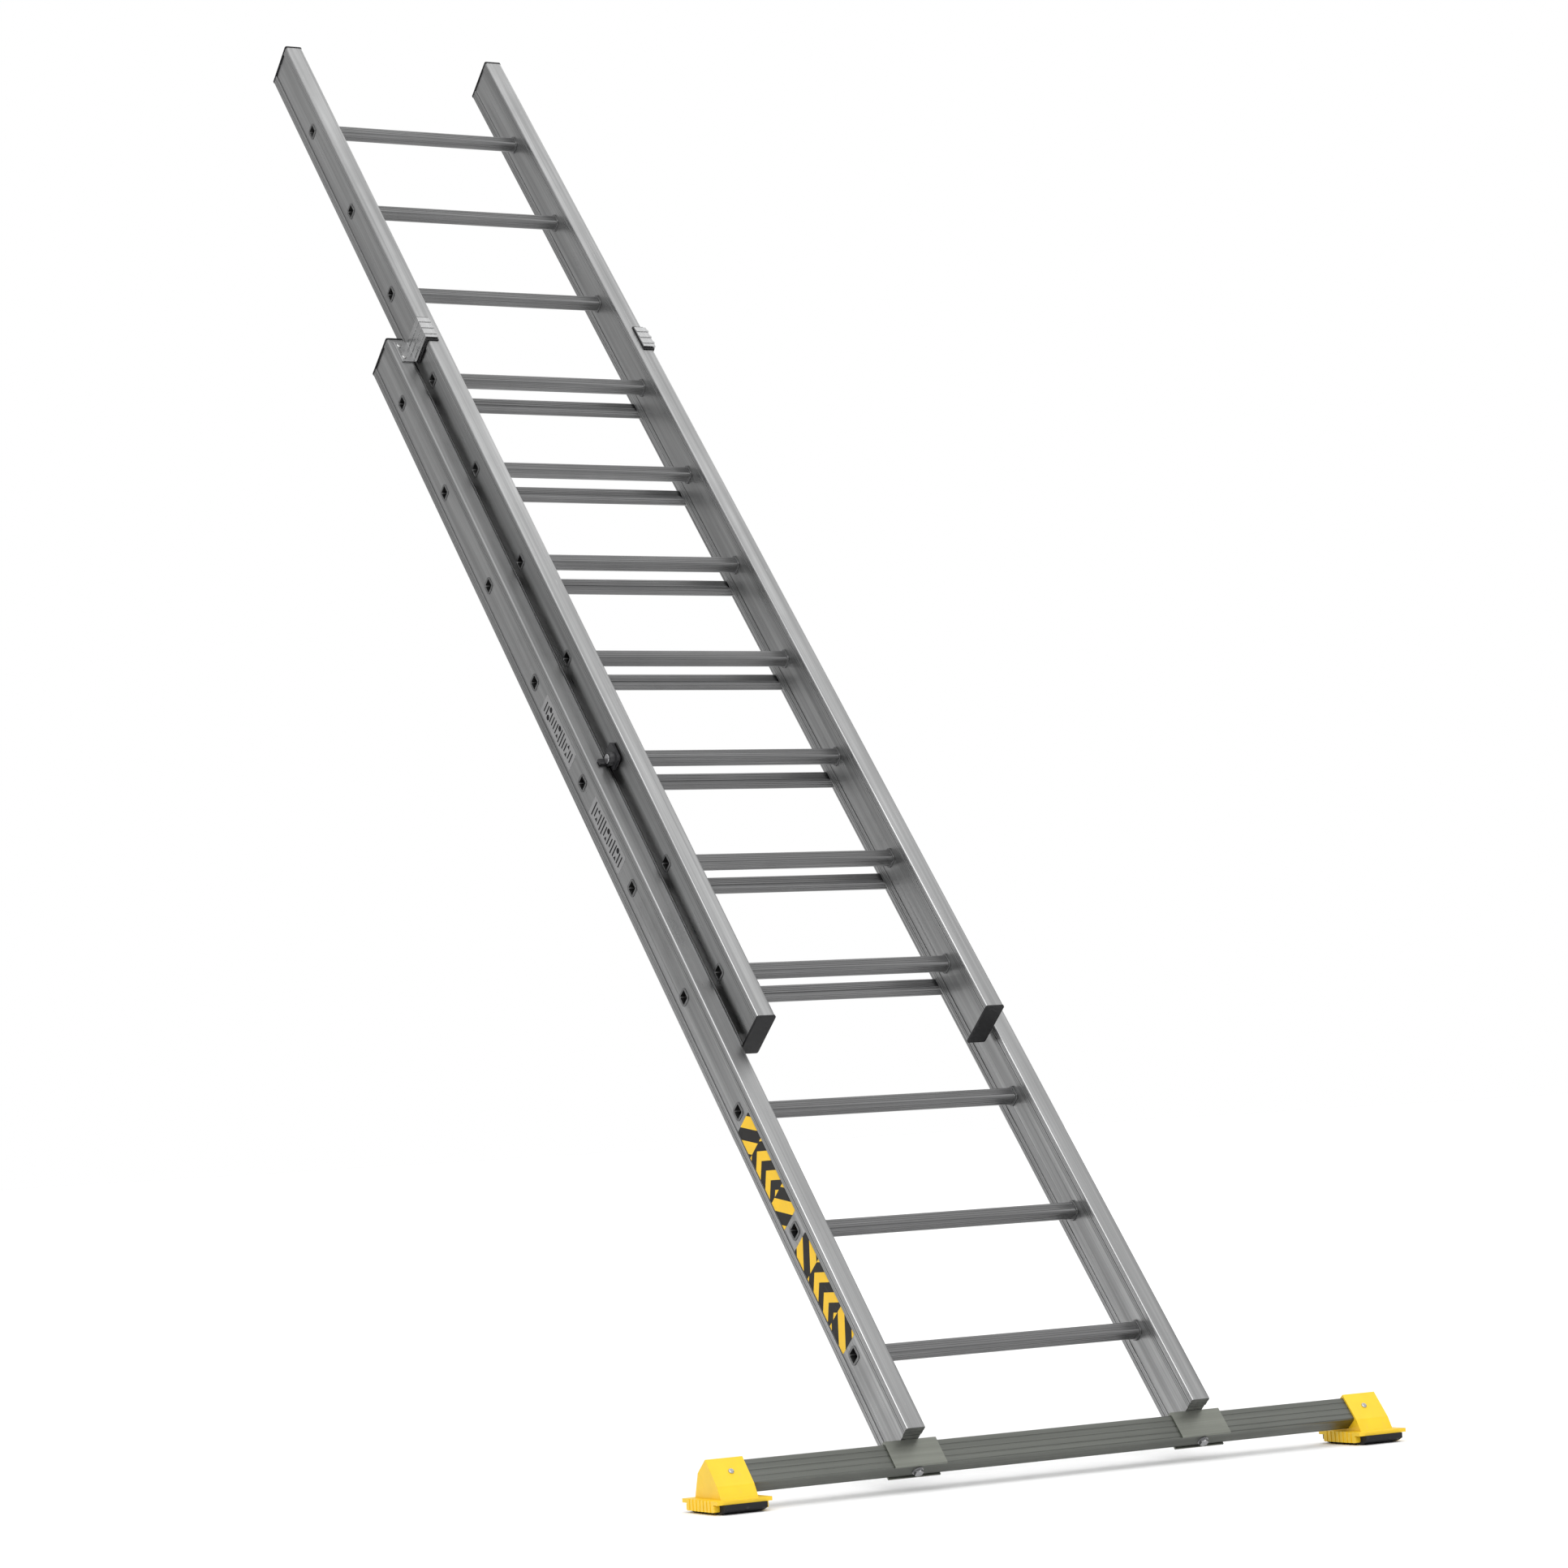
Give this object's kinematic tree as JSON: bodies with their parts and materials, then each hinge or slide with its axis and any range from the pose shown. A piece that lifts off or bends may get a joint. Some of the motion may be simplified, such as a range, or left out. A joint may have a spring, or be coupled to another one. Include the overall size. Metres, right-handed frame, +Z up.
{
  "type": "extension ladder",
  "caption": "Leaning two-section aluminium push-up ladder with ribbed rungs, sliding fly section, swinging rung hooks, stabiliser bar and rubber-soled feet.",
  "frame": {"origin": "on the floor below the lower ends of the stiles, midway between the two feet", "axes": "+X to the climber's right, +Y back towards the wall the ladder leans on, +Z up"},
  "size_m": [1.259, 2.2448, 2.7332],
  "materials": {
    "stile_alloy": "satin mill finish with fine drawing lines along the length",
    "rung_alloy": "ribbed mill finish, slightly darker than the stiles",
    "bar_alloy": "matt mill finish with fine grooves",
    "bracket_alloy": "pressed and brushed",
    "rivet_alloy": "bright",
    "steel": "zinc plated",
    "cap_plastic": "moulded, fine grain",
    "hook_plastic": "glass-filled nylon, fine grain",
    "foot_plastic": "moulded, satin",
    "rubber": "moulded tread",
    "hazard_label": "printed vinyl with plain yellow and black bands and no wording",
    "info_label": "silver vinyl with plain marks and no wording"
  },
  "bodies": {
    "base_section": {"base_stile_left": "stile_alloy", "base_stile_right": "stile_alloy", "base_rung_01": "rung_alloy", "base_rung_02": "rung_alloy", "base_rung_03": "rung_alloy", "base_rung_04": "rung_alloy", "base_rung_05": "rung_alloy", "base_rung_06": "rung_alloy", "base_rung_07": "rung_alloy", "base_rung_08": "rung_alloy", "base_rung_09": "rung_alloy", "base_rung_10": "rung_alloy", "base_top_cap_left": "cap_plastic", "base_top_cap_right": "cap_plastic", "guide_bracket_left": "bracket_alloy", "guide_bracket_right": "bracket_alloy", "guide_liner_left": "cap_plastic", "guide_liner_right": "cap_plastic", "guide_rivets": "rivet_alloy", "stabiliser_bar": "bar_alloy", "stabiliser_saddle_left": "bar_alloy", "stabiliser_saddle_right": "bar_alloy", "stile_insert_left": "stile_alloy", "stile_insert_right": "stile_alloy", "stabiliser_bolts": "steel", "stabiliser_washers": "steel", "foot_cap_left": "foot_plastic", "foot_cap_right": "foot_plastic", "foot_sole_left": "rubber", "foot_sole_right": "rubber", "foot_rivets": "rivet_alloy", "hazard_label_upper": "hazard_label", "hazard_label_lower": "hazard_label", "info_label_upper": "info_label", "info_label_lower": "info_label"},
    "fly_section": {"fly_stile_left": "stile_alloy", "fly_stile_right": "stile_alloy", "fly_rung_01": "rung_alloy", "fly_rung_02": "rung_alloy", "fly_rung_03": "rung_alloy", "fly_rung_04": "rung_alloy", "fly_rung_05": "rung_alloy", "fly_rung_06": "rung_alloy", "fly_rung_07": "rung_alloy", "fly_rung_08": "rung_alloy", "fly_rung_09": "rung_alloy", "fly_rung_10": "rung_alloy", "fly_top_cap_left": "cap_plastic", "fly_top_cap_right": "cap_plastic", "fly_bottom_cap_left": "cap_plastic", "fly_bottom_cap_right": "cap_plastic", "glide_pad_left": "cap_plastic", "glide_pad_right": "cap_plastic", "hook_pin_left": "steel", "hook_pin_right": "steel"},
    "left_hook": {"rung_hook_left": "hook_plastic"},
    "right_hook": {"rung_hook_right": "hook_plastic"}
  },
  "joints": [
    {"name": "fly_slide", "type": "slide", "parent": "base_section", "child": "fly_section", "axis": [0, 0.6428, 0.766], "range_m": [-0.75, 0.75]},
    {"name": "left_hook_pivot", "type": "hinge", "parent": "fly_section", "child": "left_hook", "pos_m": [-0.238, 0.87154, 1.1969], "axis": [1, 0, 0], "range_deg": [0, 75]},
    {"name": "right_hook_pivot", "type": "hinge", "parent": "fly_section", "child": "right_hook", "pos_m": [0.238, 0.87154, 1.1969], "axis": [1, 0, 0], "range_deg": [0, 75]}
  ]
}
